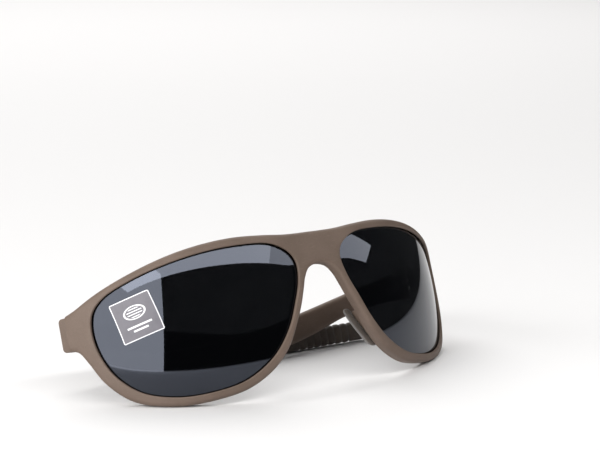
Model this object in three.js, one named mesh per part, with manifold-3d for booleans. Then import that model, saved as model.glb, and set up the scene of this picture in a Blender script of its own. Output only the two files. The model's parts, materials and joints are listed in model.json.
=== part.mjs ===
// Wraparound sunglasses, folded: moulded nylon front, two curved lenses, two folding temples.
// Millimetres. Every piece is designed in the front's own frame (X across, Y towards the ears, Z up,
// origin at the front surface's middle) with the temples open, for the wearer's left side at +X.
// The right side is its mirror image. The temples are then folded and the whole pair leans back
// on its lower rims and temple tips.
import * as THREE from "three";
import { mergeVertices } from "three/addons/utils/BufferGeometryUtils.js";
import Module from "manifold-3d";

const wasm = await Module();
wasm.setup();

const degrees = Math.PI / 180;

// ---- driving dimensions ----
const WRAP_RADIUS = 64; // plan radius of the front on each side of the bridge
const BRIDGE_HALF = 11; // half width of the straight stretch over the nose
const ARCH_RADIUS = 78; // vertical radius of the front surface
const LEAN = 18 * degrees; // how far the standing front leans back
const GAP = 0.3; // running and fitting clearance

const FRONT_THICKNESS = 4;
const FRONT_ROUND = 0.8; // rounding of the moulded edges
const SPLIT_ARC = 82.5; // arc length from the middle to the split between front and temple
const ENDPIECE_TOP = 8.3;
const ENDPIECE_BOTTOM = -1.8;
const BEND_STEP = 7; // longest straight stretch in a bent face
const REST_FLAT_DEPTH = 0.3; // how deep the resting flats are cut into the lower rims

const LENS_DEPTH = 1.1; // front face of the lens behind the front surface
const LENS_THICKNESS = 1.8;
const LENS_TUCK = 0.9; // how far the lens edge reaches into the rim
const LABEL_SIZE = 12.2;
const LABEL_THICKNESS = 0.15;
const LABEL_ARC = -59.7;
const LABEL_HEIGHT = 4.1;
const LABEL_TURN = 12.5 * degrees;

const BARREL_RADIUS = 1.9;
const SEAT = BARREL_RADIUS + GAP; // hinge pin to the inner faces of endpiece and arm
const LEAF_THICKNESS = 1;
const LEAF_LENGTH = 6.4;
const LEAF_HALF_HEIGHT = 3.6;
const KNUCKLE_HALF = 1.15; // half height of the temple leaf's single knuckle
const PIN_RADIUS = 0.6;
const HEAD_RADIUS = 1.5;
const HEAD_HEIGHT = 0.8;
const FIXING_RADIUS = 0.5;
const FIXING_HEAD_RADIUS = 1.2;
const FIXING_HEAD_HEIGHT = 0.5;
const FIXING_REACH = 2.3; // how far a fixing screw goes into the plastic
const FIXING_PLACES = [[4.3, 2], [4.3, -2]]; // distance from the pin, height

const ARM_LENGTH = 116;
const ARM_BEND_LENGTH = 16; // stretch in which the arm turns straight back
const ARM_TIP_TURN = 5 * degrees; // further inward turn by the tip
const ARM_ROOT_THICKNESS = 4;
const ARM_REAR_THICKNESS = 3;
const ARM_TOP = [[0, ENDPIECE_TOP], [10, 6.1], [31, 1.8], [47, -1.4], [62, -3.9], [85, -5.8], [116, -6.5]];
const ARM_BOTTOM = [[0, ENDPIECE_BOTTOM], [14, -2.3], [28, -4.5], [42, -8.5], [56, -11.4], [70, -12.47],
  [116, -12.47]];
const RING_POINTS = 12; // corners of the arm's section
const GRIP_START = 78;
const TANG_SCALE = 0.52; // the arm's core inside the rubber sleeve, against the full section
const TANG_END = ARM_LENGTH - 5;
const INNER_ARM_FOLD = 91.5 * degrees; // the left arm folds first and lies nearest to the lenses
const OUTER_ARM_FOLD = 86.8 * degrees; // the right arm lies over it

const splitTurn = (SPLIT_ARC - BRIDGE_HALF) / WRAP_RADIUS;
const hingeHeight = (ENDPIECE_TOP + ENDPIECE_BOTTOM) / 2;

// ---- outlines on the unrolled front: [arc length from the middle, height] ----
const BROW = [[0, 20.3], [9, 20.3], [17, 21.1], [26, 22], [36, 21.6], [47, 19.9], [59.6, 16.6], [70, 13.1],
  [78, 9.8], [SPLIT_ARC, ENDPIECE_TOP]];
const LOWER_EDGE = [[SPLIT_ARC, ENDPIECE_BOTTOM], [79.5, -2.9], [76.6, -6.6], [72, -13], [63.5, -19.6],
  [51.5, -23], [40, -23.4], [28.8, -21.7], [20.4, -17.2], [15.2, -11.7], [11.9, -5.7], [9.4, -0.8],
  [7.2, 4.4], [5.9, 7.4], [3.7, 10], [0, 10.9]];
const LENS_OPENING = [[8, 11.5], [8.9, 6.3], [11.3, 0.6], [15.4, -7.4], [21.2, -14.2], [29.8, -19.2],
  [40, -20.9], [50.5, -20.5], [61, -17.3], [69, -10.8], [73, -3.5], [73.9, 2.8], [72.6, 7.5], [68.4, 11.2],
  [58.8, 14.8], [47.3, 17.8], [35.6, 19.5], [25, 19.8], [16, 18.9], [11.4, 16.9], [8.9, 14.5]];

// ---- helpers: meshes ----

// A closed mesh whose equal corners are one vertex.
function welded(geometry) {
  const bare = geometry.clone();
  bare.deleteAttribute("normal");
  bare.deleteAttribute("uv");
  return mergeVertices(bare, 1e-5);
}

function solid(geometry) {
  const mesh = welded(geometry);
  return new wasm.Manifold(new wasm.Mesh({
    numProp: 3,
    vertProperties: new Float32Array(mesh.attributes.position.array),
    triVerts: new Uint32Array(mesh.index.array),
  }));
}

function geometryOf(manifold) {
  const mesh = manifold.getMesh();
  const geometry = new THREE.BufferGeometry();
  geometry.setAttribute("position", new THREE.BufferAttribute(mesh.vertProperties, 3));
  geometry.setIndex(new THREE.BufferAttribute(mesh.triVerts, 1));
  return geometry;
}

// Halves each triangle's longest edge, with its neighbour's, until none is longer than the limit.
function refined(geometry, limit) {
  const position = Array.from(geometry.attributes.position.array);
  let index = Array.from(geometry.index.array);
  const edgeKey = (a, b) => (a < b ? `${a} ${b}` : `${b} ${a}`);
  const edgeLength = (a, b) => Math.hypot(...[0, 1, 2].map((k) => position[3 * a + k] - position[3 * b + k]));
  for (let middles = new Map([[0, 0]]); middles.size > 0;) {
    middles = new Map();
    for (let i = 0; i < index.length; i += 3) {
      const edges = [0, 1, 2].map((k) => [index[i + k], index[i + (k + 1) % 3]]);
      const [a, b] = edges.reduce((best, edge) => (edgeLength(...edge) > edgeLength(...best) ? edge : best));
      if (edgeLength(a, b) <= limit || middles.has(edgeKey(a, b))) continue;
      middles.set(edgeKey(a, b), position.length / 3);
      position.push(...[0, 1, 2].map((k) => (position[3 * a + k] + position[3 * b + k]) / 2));
    }
    index = splitAtMiddles(index, (a, b) => middles.get(edgeKey(a, b)) ?? -1);
  }
  const result = new THREE.BufferGeometry();
  result.setAttribute("position", new THREE.Float32BufferAttribute(position, 3));
  result.setIndex(index);
  return result;
}

function splitAtMiddles(index, middleOf) {
  const next = [];
  for (let i = 0; i < index.length; i += 3) {
    const corners = index.slice(i, i + 3);
    const cuts = corners.map((corner, k) => middleOf(corner, corners[(k + 1) % 3]));
    const count = cuts.filter((cut) => cut >= 0).length;
    // turn the triangle so that its first edge is cut, and with two cuts so are its first two
    let turn = Math.max(cuts.findIndex((cut) => cut >= 0), 0);
    if (count === 2 && cuts[(turn + 1) % 3] < 0) turn = (turn + 2) % 3;
    const [a, b, c] = [0, 1, 2].map((k) => corners[(turn + k) % 3]);
    const [ab, bc, ca] = [0, 1, 2].map((k) => cuts[(turn + k) % 3]);
    if (count === 0) next.push(a, b, c);
    else if (count === 1) next.push(a, ab, c, ab, b, c);
    else if (count === 2) next.push(ab, b, bc, a, ab, bc, a, bc, c);
    else next.push(a, ab, ca, ab, b, bc, ca, bc, c, ab, bc, ca);
  }
  return next;
}

// Moves every vertex of a geometry by a function of its place.
function moved(geometry, place) {
  const position = geometry.attributes.position;
  const point = new THREE.Vector3();
  for (let i = 0; i < position.count; i += 1) {
    point.fromBufferAttribute(position, i);
    const target = place(point);
    position.setXYZ(i, target.x, target.y, target.z);
  }
  return geometry;
}

function mirrored(geometry) {
  const copy = welded(geometry);
  const index = copy.index.array;
  for (let i = 0; i < index.length; i += 3) [index[i], index[i + 1]] = [index[i + 1], index[i]];
  return moved(copy, (point) => new THREE.Vector3(-point.x, point.y, point.z));
}

function union(parts) {
  return parts.reduce((whole, part) => whole.add(part));
}

// ---- helpers: outlines and slabs that follow the wrap ----

// The place of a point given by its arc length from the middle, depth behind the front surface, height.
function wrapPoint(arc, depth, height) {
  const turn = Math.max(Math.abs(arc) - BRIDGE_HALF, 0) / WRAP_RADIUS;
  const radius = WRAP_RADIUS - depth;
  const x = turn > 0 ? Math.sign(arc) * (BRIDGE_HALF + radius * Math.sin(turn)) : arc;
  const y = WRAP_RADIUS - radius * Math.cos(turn) + height ** 2 / (2 * ARCH_RADIUS);
  return new THREE.Vector3(x, y, height);
}

function smoothLine(points, count) {
  const curve = new THREE.CatmullRomCurve3(points.map(([a, z]) => new THREE.Vector3(a, z, 0)),
    false, "centripetal");
  return curve.getSpacedPoints(count).map((point) => new THREE.Vector2(point.x, point.y));
}

// The lens opening's outline, moved outwards by an offset, on the left or mirrored to the right.
function lensOutline(offset, side, count = 40) {
  const curve = new THREE.CatmullRomCurve3(LENS_OPENING.map(([a, z]) => new THREE.Vector3(a, z, 0)),
    true, "centripetal");
  const outline = [];
  for (let i = 0; i < count; i += 1) {
    const point = curve.getPointAt(i / count);
    const tangent = curve.getTangentAt(i / count);
    outline.push(new THREE.Vector2(side * (point.x - offset * -tangent.y), point.y - offset * tangent.x));
  }
  return outline;
}

function mirroredLine(half) {
  const other = half.slice(1).reverse().map(([a, z]) => [-a, z]);
  return [...other, ...half];
}

function frontOutline() {
  const brow = smoothLine(mirroredLine(BROW), 34);
  const lower = smoothLine(mirroredLine([...LOWER_EDGE].reverse()), 84).reverse();
  return [...brow, ...lower].reverse();
}

// A slab of a flat outline, bent onto the wrap between two depths.
function wrappedSlab(shape, frontDepth, thickness, round, longest) {
  const flat = new THREE.ExtrudeGeometry(shape, {
    depth: thickness - 2 * round,
    bevelEnabled: round > 0,
    bevelThickness: round,
    bevelSize: round,
    bevelOffset: -round,
    bevelSegments: 1,
    curveSegments: 1,
  });
  flat.translate(0, 0, round - thickness - frontDepth);
  return moved(refined(welded(flat), longest), (point) => wrapPoint(point.x, -point.z, point.y));
}

// ---- helpers: the hinge's own frame ----
// Origin on the pin, first axis forwards along the endpiece's inner face, second outwards, third up.

const hingePoint = wrapPoint(SPLIT_ARC, FRONT_THICKNESS + SEAT, 0).setZ(hingeHeight);
const hingeFrame = new THREE.Matrix4()
  .makeRotationZ(splitTurn + Math.PI)
  .setPosition(hingePoint);

function hingeBlock(low, high) {
  const size = new THREE.Vector3().fromArray(high).sub(new THREE.Vector3().fromArray(low));
  const block = new THREE.BoxGeometry(size.x, size.y, size.z);
  block.translate(low[0] + size.x / 2, low[1] + size.y / 2, low[2] + size.z / 2);
  return solid(block);
}

function pinCylinder(radius, low, high, sides = 14) {
  const cylinder = new THREE.CylinderGeometry(radius, radius, high - low, sides);
  cylinder.rotateX(Math.PI / 2);
  cylinder.translate(0, 0, (low + high) / 2);
  return solid(cylinder);
}

// A cylinder along the second axis, for fixing screws and their holes.
function fixingCylinder(radius, low, high, along, height, sides = 10) {
  const cylinder = new THREE.CylinderGeometry(radius, radius, high - low, sides);
  cylinder.translate(along, (low + high) / 2, height);
  return solid(cylinder);
}

function fromHingeFrame(manifold) {
  return geometryOf(manifold).applyMatrix4(hingeFrame);
}

// ---- the front ----

// Width of the nose opening's half at a height, along the lower nose arms.
function noseEdge(height) {
  return 8.9 - 0.42 * height + 0.012 * height ** 2;
}

// Behind the nose arms: depth from the front surface, height, and distance out from the nose.
function nosePoint(depth, height, out) {
  const flare = 0.055 * Math.max(depth - 2.5, 0) ** 2;
  return new THREE.Vector3(noseEdge(height) + out + flare, 0.6 + depth, height);
}

// A rounded D-shaped plate behind a nose arm.
function nosePlate(front, back, top, bottom, inner, outer, round) {
  const middle = (top + bottom) / 2;
  const half = (top - bottom) / 2;
  const shape = new THREE.Shape();
  shape.moveTo(front, bottom);
  shape.bezierCurveTo(back, bottom, back, middle - half * 0.4, back, middle);
  shape.bezierCurveTo(back, middle + half * 0.4, back - (back - front) * 0.35, top, front, top);
  const flat = new THREE.ExtrudeGeometry(shape, {
    depth: outer - inner - 2 * round,
    bevelEnabled: round > 0,
    bevelThickness: round,
    bevelSize: round,
    bevelOffset: -round,
    bevelSegments: 1,
    curveSegments: 8,
  });
  flat.translate(0, 0, inner + round);
  // the plate's third axis points outwards, so the axes keep their sense when it is placed
  return moved(refined(welded(flat), BEND_STEP), (point) => nosePoint(point.x, point.y, point.z));
}

function noseWing() {
  return nosePlate(2.4, 10.2, -4.5, -15, 0.2, 1.4, 0);
}

function nosePad() {
  return nosePlate(4.9, 11.4, -3.6, -15.8, -1.9, 0.2 - GAP, 0.7);
}

function bothSides(geometry) {
  return union([solid(geometry), solid(mirrored(geometry))]);
}

// Everything that is cut out of the endpiece: the leaf's flat seat, the split face and the screw holes.
function endpieceCuts() {
  const seat = hingeBlock([-1, -3, -6], [LEAF_LENGTH + 0.8, SEAT, 6]);
  const split = hingeBlock([-4, -3, -9], [GAP / 2, 12, 9]);
  const holes = FIXING_PLACES.map(([along, height]) =>
    fixingCylinder(FIXING_RADIUS + GAP, 0, SEAT + FIXING_REACH + GAP, along, height));
  return fromHingeFrame(union([seat, split, ...holes]));
}

// The half space below the surface that the folded pair stands on.
function belowFloor(level) {
  const block = new THREE.BoxGeometry(260, 260, 60);
  block.translate(0, 0, level - 30);
  block.rotateX(LEAN);
  return solid(block);
}

function heightAboveOrigin(point) {
  return point.z * Math.cos(LEAN) - point.y * Math.sin(LEAN);
}

function lowestOf(geometry) {
  const position = geometry.attributes.position;
  const point = new THREE.Vector3();
  let lowest = Infinity;
  for (let i = 0; i < position.count; i += 1) {
    lowest = Math.min(lowest, heightAboveOrigin(point.fromBufferAttribute(position, i)));
  }
  return lowest;
}

function frontFrame() {
  const shape = new THREE.Shape(frontOutline());
  for (const side of [1, -1]) shape.holes.push(new THREE.Path(lensOutline(0, side)));
  const plate = wrappedSlab(shape, 0, FRONT_THICKNESS, FRONT_ROUND, BEND_STEP);
  const lowest = lowestOf(plate);
  const grooves = [1, -1].map((side) => solid(wrappedSlab(
    new THREE.Shape(lensOutline(LENS_TUCK + GAP, side)), LENS_DEPTH - GAP, LENS_THICKNESS + 2 * GAP, 0, BEND_STEP)));
  const whole = solid(plate)
    .add(bothSides(noseWing()))
    .subtract(union(grooves))
    .subtract(bothSides(endpieceCuts()))
    .subtract(belowFloor(lowest + REST_FLAT_DEPTH));
  return geometryOf(whole);
}

function lens(side) {
  return wrappedSlab(new THREE.Shape(lensOutline(LENS_TUCK, side)), LENS_DEPTH, LENS_THICKNESS, 0, BEND_STEP);
}

function lensLabel() {
  const half = LABEL_SIZE / 2;
  const corners = [[-half, -half], [half, -half], [half, half], [-half, half]];
  const turned = corners.map(([u, v]) => new THREE.Vector2(u, v)
    .rotateAround(new THREE.Vector2(), LABEL_TURN)
    .add(new THREE.Vector2(LABEL_ARC, LABEL_HEIGHT)));
  return wrappedSlab(new THREE.Shape(turned), LENS_DEPTH - GAP - LABEL_THICKNESS, LABEL_THICKNESS, 0, BEND_STEP);
}

// ---- the hinge ----

function frontLeaf() {
  const plate = hingeBlock([0, SEAT - GAP - LEAF_THICKNESS, -LEAF_HALF_HEIGHT],
    [LEAF_LENGTH, SEAT - GAP, LEAF_HALF_HEIGHT]);
  const barrel = pinCylinder(BARREL_RADIUS, -LEAF_HALF_HEIGHT, LEAF_HALF_HEIGHT);
  const notch = hingeBlock([-3, -3, -KNUCKLE_HALF - GAP], [BARREL_RADIUS + GAP, 3, KNUCKLE_HALF + GAP]);
  return fromHingeFrame(plate.add(barrel).subtract(notch).subtract(leafHoles(1)));
}

function templeLeaf() {
  const plate = hingeBlock([-LEAF_LENGTH, SEAT - GAP - LEAF_THICKNESS, -LEAF_HALF_HEIGHT],
    [-BARREL_RADIUS - GAP, SEAT - GAP, LEAF_HALF_HEIGHT]);
  const tongue = hingeBlock([-LEAF_LENGTH, SEAT - GAP - LEAF_THICKNESS, -KNUCKLE_HALF],
    [0, SEAT - GAP, KNUCKLE_HALF]);
  const knuckle = pinCylinder(BARREL_RADIUS, -KNUCKLE_HALF, KNUCKLE_HALF);
  return fromHingeFrame(union([plate, tongue, knuckle]).subtract(leafHoles(-1)));
}

function leafHoles(way) {
  const fixings = FIXING_PLACES.map(([along, height]) =>
    fixingCylinder(FIXING_RADIUS + GAP, -1, SEAT + 1, way * along, height));
  return union([pinCylinder(PIN_RADIUS + GAP, -6, 6, 12), ...fixings]);
}

function hingeScrew() {
  const headBase = LEAF_HALF_HEIGHT + GAP;
  const shank = pinCylinder(PIN_RADIUS, -LEAF_HALF_HEIGHT - 0.4, headBase + 0.1, 10);
  const head = pinCylinder(HEAD_RADIUS, headBase, headBase + HEAD_HEIGHT);
  const slot = hingeBlock([-2, -0.2, headBase + 0.45], [2, 0.2, headBase + 2]);
  return fromHingeFrame(shank.add(head).subtract(slot));
}

function fixingScrew(way, along, height) {
  const headTop = SEAT - GAP - LEAF_THICKNESS - GAP;
  const shank = fixingCylinder(FIXING_RADIUS, headTop - 0.1, SEAT + FIXING_REACH, way * along, height);
  const head = fixingCylinder(FIXING_HEAD_RADIUS, headTop - FIXING_HEAD_HEIGHT, headTop, way * along, height);
  return fromHingeFrame(shank.add(head));
}

// ---- the temple ----

// Height of the arm's top or bottom edge at a distance from the hinge, smoothly through its points.
function edgeHeight(points, distance) {
  const next = Math.max(1, points.findIndex(([at]) => at >= distance));
  const [from, to] = [points[next - 1], points[next]];
  const slope = (i) => {
    const [a, b] = [points[Math.max(i - 1, 0)], points[Math.min(i + 1, points.length - 1)]];
    return (b[1] - a[1]) / (b[0] - a[0]);
  };
  const span = to[0] - from[0];
  const t = (distance - from[0]) / span;
  return (2 * t ** 3 - 3 * t ** 2 + 1) * from[1] + (t ** 3 - 2 * t ** 2 + t) * span * slope(next - 1)
    + (3 * t ** 2 - 2 * t ** 3) * to[1] + (t ** 3 - t ** 2) * span * slope(next);
}

// The arm's outer face in plan, in the hinge frame: place and the inward turn at a distance.
function armPlan(distance) {
  const steps = 60;
  const place = new THREE.Vector2(-GAP / 2, FRONT_THICKNESS + SEAT);
  const turnAt = (s) => (Math.PI / 2 - splitTurn) * Math.min(s / ARM_BEND_LENGTH, 1)
    + ARM_TIP_TURN * Math.max(s - ARM_BEND_LENGTH, 0) / (ARM_LENGTH - ARM_BEND_LENGTH);
  for (let i = 0; i < steps; i += 1) {
    const turn = turnAt((i + 0.5) * distance / steps);
    place.x -= Math.cos(turn) * distance / steps;
    place.y -= Math.sin(turn) * distance / steps;
  }
  return { place, turn: turnAt(distance) };
}

function armThickness(distance) {
  const t = THREE.MathUtils.smoothstep(distance, 0, 48);
  return THREE.MathUtils.lerp(ARM_ROOT_THICKNESS, ARM_REAR_THICKNESS, t);
}

// One ring of the arm's section, a rounded box, at a distance from the hinge.
function armRing(distance, scale, grow) {
  const { place, turn } = armPlan(distance);
  const top = edgeHeight(ARM_TOP, distance);
  const bottom = edgeHeight(ARM_BOTTOM, distance);
  const thickness = armThickness(distance);
  const tipShrink = Math.sqrt(Math.max(1 - Math.max(distance - ARM_LENGTH + 4, 0) ** 2 / 16, 0.06));
  const halfHeight = (top - bottom) / 2 * scale * tipShrink + grow;
  const halfThickness = thickness / 2 * scale * tipShrink + grow;
  const outwards = new THREE.Vector2(-Math.sin(turn), Math.cos(turn));
  const ring = [];
  for (let i = 0; i < RING_POINTS; i += 1) {
    const angle = (i + 0.5) / RING_POINTS * 2 * Math.PI;
    const across = Math.sign(Math.cos(angle)) * Math.abs(Math.cos(angle)) ** 0.55;
    const up = Math.sign(Math.sin(angle)) * Math.abs(Math.sin(angle)) ** 0.4;
    const out = across * halfThickness - thickness / 2;
    ring.push(new THREE.Vector3(place.x + outwards.x * out, place.y + outwards.y * out,
      (top + bottom) / 2 + up * halfHeight - hingeHeight));
  }
  return ring;
}

// A closed bar through rings of equal size.
function loft(rings) {
  const size = rings[0].length;
  const points = rings.flat();
  const index = [];
  for (let r = 0; r + 1 < rings.length; r += 1) {
    for (let i = 0; i < size; i += 1) {
      const a = r * size + i;
      const b = r * size + (i + 1) % size;
      index.push(a, a + size, b, b, a + size, b + size);
    }
  }
  for (const [ring, flip] of [[0, true], [rings.length - 1, false]]) {
    const middle = rings[ring].reduce((sum, point) => sum.clone().add(point)).divideScalar(size);
    points.push(middle);
    for (let i = 0; i < size; i += 1) {
      const a = ring * size + i;
      const b = ring * size + (i + 1) % size;
      index.push(...(flip ? [a, b, points.length - 1] : [b, a, points.length - 1]));
    }
  }
  const geometry = new THREE.BufferGeometry().setFromPoints(points);
  geometry.setIndex(index);
  return geometry;
}

function armBar(from, to, steps, scale = 1, grow = 0) {
  const rings = [];
  for (let i = 0; i <= steps; i += 1) rings.push(armRing(from + (to - from) * i / steps, scale, grow));
  return solid(loft(rings));
}

function templeArm() {
  const seat = hingeBlock([-LEAF_LENGTH - 0.8, -6, -6], [1, SEAT, 6]);
  const holes = FIXING_PLACES.map(([along, height]) =>
    fixingCylinder(FIXING_RADIUS + GAP, 0, SEAT + FIXING_REACH + GAP, -along, height));
  const bar = armBar(0, GRIP_START, 22).subtract(seat).subtract(union(holes));
  const tang = armBar(GRIP_START - 2, TANG_END, 6, TANG_SCALE);
  return fromHingeFrame(bar.add(tang));
}

function templeGrip() {
  const sleeve = armBar(GRIP_START + GAP, ARM_LENGTH, 12);
  const hollow = armBar(GRIP_START - 1, TANG_END + GAP, 6, TANG_SCALE, GAP);
  return fromHingeFrame(sleeve.subtract(hollow));
}

// ---- materials ----

const nylon = new THREE.MeshStandardMaterial({ color: 0x85736a, roughness: 0.6, metalness: 0 });
const greyLens = new THREE.MeshStandardMaterial({ color: 0x14161a, roughness: 0.05, metalness: 0 });
const softRubber = new THREE.MeshStandardMaterial({ color: 0x4d433b, roughness: 0.85, metalness: 0 });
const steel = new THREE.MeshStandardMaterial({ color: 0x9a9a98, roughness: 0.35, metalness: 1 });
const labelFilm = new THREE.MeshStandardMaterial({ color: 0xa9a5ab, roughness: 0.5, metalness: 0 });

// ---- assembly ----

function named(name, geometry, material) {
  const mesh = new THREE.Mesh(geometry, material);
  mesh.name = name;
  return mesh;
}

// A group that turns its pieces about the hinge axis, from open to folded.
function foldingGroup(side, fold) {
  const pivot = new THREE.Group();
  const place = new THREE.Vector3(side * hingePoint.x, hingePoint.y, hingePoint.z);
  pivot.position.copy(place);
  pivot.rotation.z = side * fold;
  const contents = new THREE.Group();
  contents.position.copy(place).negate();
  pivot.add(contents);
  return { pivot, contents };
}

const glasses = new THREE.Group();
glasses.rotation.x = -LEAN;
glasses.add(named("front_frame", frontFrame(), nylon));
glasses.add(named("lens_label_right", lensLabel(), labelFilm));

for (const [word, side, fold] of [["left", 1, INNER_ARM_FOLD], ["right", -1, OUTER_ARM_FOLD]]) {
  const handed = (geometry) => (side > 0 ? geometry : mirrored(geometry));
  const { pivot, contents } = foldingGroup(side, fold);
  glasses.add(
    named(`lens_${word}`, lens(side), greyLens),
    named(`nose_pad_${word}`, handed(nosePad()), softRubber),
    named(`front_hinge_leaf_${word}`, handed(frontLeaf()), steel),
    named(`hinge_screw_${word}`, handed(hingeScrew()), steel),
    pivot,
  );
  contents.add(
    named(`temple_arm_${word}`, handed(templeArm()), nylon),
    named(`temple_grip_${word}`, handed(templeGrip()), softRubber),
    named(`temple_hinge_leaf_${word}`, handed(templeLeaf()), steel),
  );
  for (const [place, [along, height]] of FIXING_PLACES.entries()) {
    const number = place + 1;
    glasses.add(named(`front_leaf_screw_${word}_${number}`, handed(fixingScrew(1, along, height)), steel));
    contents.add(named(`temple_leaf_screw_${word}_${number}`, handed(fixingScrew(-1, along, height)), steel));
  }
}

const model = new THREE.Group();
model.add(glasses);
model.updateMatrixWorld(true);
const box = new THREE.Box3().setFromObject(model, true);
glasses.position.set(0, -(box.min.y + box.max.y) / 2, -box.min.z);

export default model;
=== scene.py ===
"""Wraparound sunglasses, folded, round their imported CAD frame: moulded nylon front, two grey lenses,
rubber-tipped temples on screwed hinges, and a stuck-on lens label.

Every piece is designed in millimetres in the front's own frame (X across, Y towards the ears, Z up,
origin at the front surface's middle) with the temples open, on the wearer's left side at +X. The right
side is its mirror image. It is then folded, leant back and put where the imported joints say.
"""
import json
import math

import bmesh
import bpy
import numpy as np
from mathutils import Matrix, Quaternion, Vector

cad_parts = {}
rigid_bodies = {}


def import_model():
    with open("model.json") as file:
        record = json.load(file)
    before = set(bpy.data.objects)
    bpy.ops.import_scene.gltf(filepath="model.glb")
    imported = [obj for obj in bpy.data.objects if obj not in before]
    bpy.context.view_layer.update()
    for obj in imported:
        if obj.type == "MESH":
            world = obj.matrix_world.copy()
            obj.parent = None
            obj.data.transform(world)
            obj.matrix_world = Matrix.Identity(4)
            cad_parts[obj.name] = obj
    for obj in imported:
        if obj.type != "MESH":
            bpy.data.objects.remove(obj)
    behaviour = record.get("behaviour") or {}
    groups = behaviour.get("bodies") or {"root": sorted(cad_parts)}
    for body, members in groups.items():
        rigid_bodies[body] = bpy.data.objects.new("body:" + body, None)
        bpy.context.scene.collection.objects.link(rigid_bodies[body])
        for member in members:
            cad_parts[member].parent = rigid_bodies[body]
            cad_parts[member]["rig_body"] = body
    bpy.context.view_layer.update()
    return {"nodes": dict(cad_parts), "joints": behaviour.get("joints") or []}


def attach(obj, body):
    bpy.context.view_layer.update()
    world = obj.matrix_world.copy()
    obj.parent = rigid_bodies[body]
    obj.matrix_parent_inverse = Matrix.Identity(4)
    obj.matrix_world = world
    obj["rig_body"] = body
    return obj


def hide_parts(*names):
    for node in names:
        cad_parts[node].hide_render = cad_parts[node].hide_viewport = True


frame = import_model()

# ---- dimensions shared with the CAD model, in millimetres ----
WRAP_RADIUS = 64  # plan radius of the front on each side of the bridge
BRIDGE_HALF = 11  # half width of the straight stretch over the nose
ARCH_RADIUS = 78  # vertical radius of the front surface
LEAN = math.radians(18)  # how far the standing front leans back
GAP = 0.3  # running and fitting clearance

FRONT_THICKNESS = 4
SPLIT_ARC = 82.5  # arc length from the middle to the split between front and temple
ENDPIECE_TOP = 8.3
ENDPIECE_BOTTOM = -1.8

LENS_DEPTH = 1.1  # front face of the lens behind the front surface
LENS_THICKNESS = 1.8
LENS_TUCK = 0.9  # how far the lens edge reaches into the rim
LABEL_SIZE = 12.2  # the sides that run up the lens
LABEL_WIDTH = 13  # the sides that run across it
LABEL_ARC = -59.7
LABEL_HEIGHT = 4.1
LABEL_TURN = math.radians(12.5)

BARREL_RADIUS = 1.9
SEAT = BARREL_RADIUS + GAP  # hinge pin to the inner faces of endpiece and arm
LEAF_THICKNESS = 1
LEAF_LENGTH = 6.4
LEAF_HALF_HEIGHT = 3.6
KNUCKLE_HALF = 1.15  # half height of the temple leaf's single knuckle
PIN_RADIUS = 0.6
HEAD_RADIUS = 1.5
HEAD_HEIGHT = 0.8
FIXING_RADIUS = 0.5
FIXING_HEAD_RADIUS = 1.2
FIXING_HEAD_HEIGHT = 0.5
FIXING_REACH = 2.3
FIXING_PLACES = [(4.3, 2), (4.3, -2)]  # distance from the pin, height

ARM_LENGTH = 116
ARM_BEND_LENGTH = 16  # stretch in which the arm turns straight back
ARM_TIP_TURN = math.radians(5)  # further inward turn by the tip
ARM_ROOT_THICKNESS = 4
ARM_REAR_THICKNESS = 3
ARM_TAPER_LENGTH = 48
ARM_TOP = [(0, ENDPIECE_TOP), (10, 6.1), (31, 1.8), (47, -1.4), (62, -3.9), (85, -5.8), (116, -6.5)]
ARM_BOTTOM = [(0, ENDPIECE_BOTTOM), (14, -2.3), (28, -4.5), (42, -8.5), (56, -11.4), (70, -12.47),
              (116, -12.47)]
GRIP_START = 78
TANG_SCALE = 0.52  # the arm's core inside the rubber sleeve, against the full section
TANG_END = ARM_LENGTH - 5

# ---- finishing dimensions that only the visible surface has, in millimetres ----
OUTER_ROUND = 1.15  # front edge of the rim's outline
BACK_ROUND = 0.9
OPENING_ROUND = 0.32  # both edges of the lens opening
SPLIT_ROUND = 0.2
SQUARED_LENGTH = 8  # stretch in which the arched endpiece gets its flat end
ARM_ROUND = 1.25
ARM_EDGE = 0.2  # rounding of the arm's and grip's ends
TIP_ROUND = 4.5
POCKET_MARGIN = 0.5  # round a hinge leaf in its pocket
POCKET_DEPTH = 0.05  # below the leaf's seat
POCKET_CORNER = 1.2
LEAF_CORNER = 1.0
LEAF_EDGE = 0.12
PIN_END = 0.4  # how far the pin comes out below its leaf
PIN_CHAMFER = 0.2
SLOT_HALF = 0.2  # half width of the pin screw's slot
SLOT_DEPTH = 0.38
RECESS_LENGTH, RECESS_WIDTH = 0.62, 0.14  # half sizes of each stroke of a fixing screw's cross
RECESS_DEPTH = 0.28
CLEAR = 6  # cutting tools reach this far, past all that they cut
SHEET_REACH = 4  # tool that trims a leaf's plate, from the pin
KNUCKLE_REACH = 3  # tools that cut the barrel, from the pin
HOLE_REACH = 1  # tools that drill a leaf, past the pin and past the seat
LENS_EDGE_ROUND = 0.2
LABEL_FILM = 0.1
LABEL_EDGE = 0.03
LABEL_CORNER = 0.25
LABEL_LIFT = 0.01  # glue between the film and the lens
NOSE_HALF_WIDTH = 8.9  # nose opening at height 0
NOSE_SLOPE = -0.42
NOSE_CURVE = 0.012
NOSE_SET_BACK = 0.6  # front surface behind its middle, at the nose arms
FLARE_START = 2.5  # depth from which the nose plates turn out
FLARE = 0.055
PAD_SLIT = 0.05  # between a nose pad and the wing behind it
GRIP_SLIT = 0.03  # between the arm's shoulder and the rubber sleeve
RIB_START = 86
RIB_END = 108.4
RIB_PITCH = 2.8
RIB_DEPTH = 0.28
SHARP_ANGLE = 40  # edges over this many degrees look sharp
HINGE_SHARP_ANGLE = 30
STRIPS = 500  # sections round each rim
CORNER_STEPS = 6
OPENING_STEPS = 3
FACE_STEPS = 5

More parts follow.
